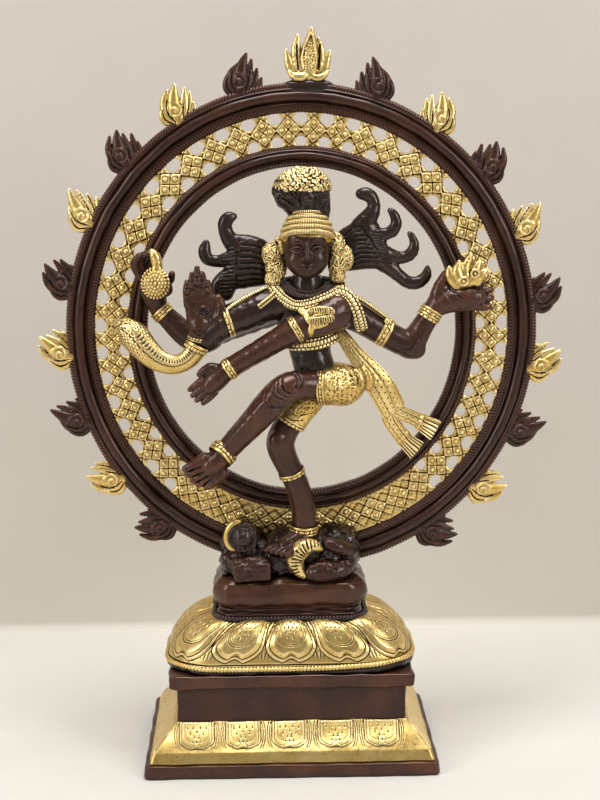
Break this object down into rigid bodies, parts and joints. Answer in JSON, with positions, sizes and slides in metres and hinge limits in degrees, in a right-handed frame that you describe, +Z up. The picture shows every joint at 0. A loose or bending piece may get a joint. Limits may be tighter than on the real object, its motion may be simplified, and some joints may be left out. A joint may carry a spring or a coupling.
{
  "type": "dancing figure statue",
  "caption": "Two-tone brass statue of a four-armed dancer inside an oval flame aureole, on a lotus cushion and stepped rectangular plinth.",
  "frame": {"origin": "centre of the plinth's footprint, on the ground under the foot", "axes": "+Z up, the figure faces -Y, +X to the viewer's right"},
  "size_m": [0.2259, 0.082, 0.3042],
  "materials": {
    "brown_patina": "dark chocolate lacquer patina on cast brass, glossy, worn to copper on the ridges",
    "polished_brass": "bright polished brass with brown antiquing in the engraving",
    "zinc_steel": "zinc-plated mild steel"
  },
  "bodies": {
    "root": {"anklets": "polished_brass", "armlets": "polished_brass", "aureole_tenons": "brown_patina", "blessing_hand": "brown_patina", "breast_band": "polished_brass", "bun_flowers": "polished_brass", "calf_band": "polished_brass", "cap_slab": "brown_patina", "cobra": "polished_brass", "crest_flame": "polished_brass", "dark_flames": "brown_patina", "drum_hand": "brown_patina", "dwarf_arm": "brown_patina", "dwarf_bed": "brown_patina", "dwarf_head": "brown_patina", "dwarf_leg": "brown_patina", "dwarf_loincloth": "polished_brass", "dwarf_trunk": "brown_patina", "fixing_nut": "zinc_steel", "fixing_stud": "zinc_steel", "fixing_washer": "zinc_steel", "flame_hand": "brown_patina", "front_left_arm": "brown_patina", "front_right_arm": "brown_patina", "gilt_flames": "polished_brass", "hair_bun": "brown_patina", "hand_flame": "polished_brass", "head": "brown_patina", "headdress": "polished_brass", "hourglass_drum": "polished_brass", "inner_ring": "brown_patina", "lattice_band": "polished_brass", "left_ear_tassel": "polished_brass", "left_hair_fan": "brown_patina", "lifted_foot": "brown_patina", "lifted_leg": "brown_patina", "loincloth": "polished_brass", "lotus_beading": "polished_brass", "lotus_cushion": "polished_brass", "neck": "brown_patina", "necklace": "polished_brass", "outer_ring": "brown_patina", "petal_moulding": "polished_brass", "plinth_die": "brown_patina", "plinth_foot": "brown_patina", "pointing_hand": "brown_patina", "rear_left_arm": "brown_patina", "rear_right_arm": "brown_patina", "right_ear_tassel": "polished_brass", "right_hair_fan": "brown_patina", "sash": "polished_brass", "seat_beading": "brown_patina", "seat_block": "brown_patina", "shoulder_ribbon": "polished_brass", "standing_foot": "brown_patina", "standing_leg": "brown_patina", "thigh_cloth": "polished_brass", "torso": "brown_patina", "wristlets": "polished_brass"}
  },
  "joints": []
}
